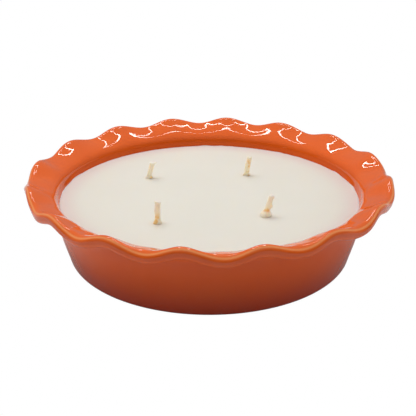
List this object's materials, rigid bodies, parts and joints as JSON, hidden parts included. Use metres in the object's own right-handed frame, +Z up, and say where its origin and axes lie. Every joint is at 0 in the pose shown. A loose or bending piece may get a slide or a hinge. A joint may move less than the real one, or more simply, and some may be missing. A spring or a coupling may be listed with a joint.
{
  "type": "candle in a ruffled pie dish",
  "caption": "Round poured wax candle with several wicks standing in its flat top, in a glazed ceramic pie dish with a ruffled, flared rim.",
  "frame": {"origin": "on the surface the dish stands on, below the middle of the dish", "axes": "+Z up, out of the wax; -Y towards the side with the two front wicks; +X to the right seen from there"},
  "size_m": [0.2595, 0.2597, 0.0608],
  "materials": {
    "glaze": "glossy orange glaze, thinner and lighter on the rim's edges",
    "wax": "smooth matte ivory wax",
    "wick": "braided cotton soaked in wax"
  },
  "bodies": {
    "root": {"dish": "glaze", "wax": "wax", "wick_back_left": "wick", "wick_back_right": "wick", "wick_front_left": "wick", "wick_front_right": "wick"}
  },
  "joints": []
}
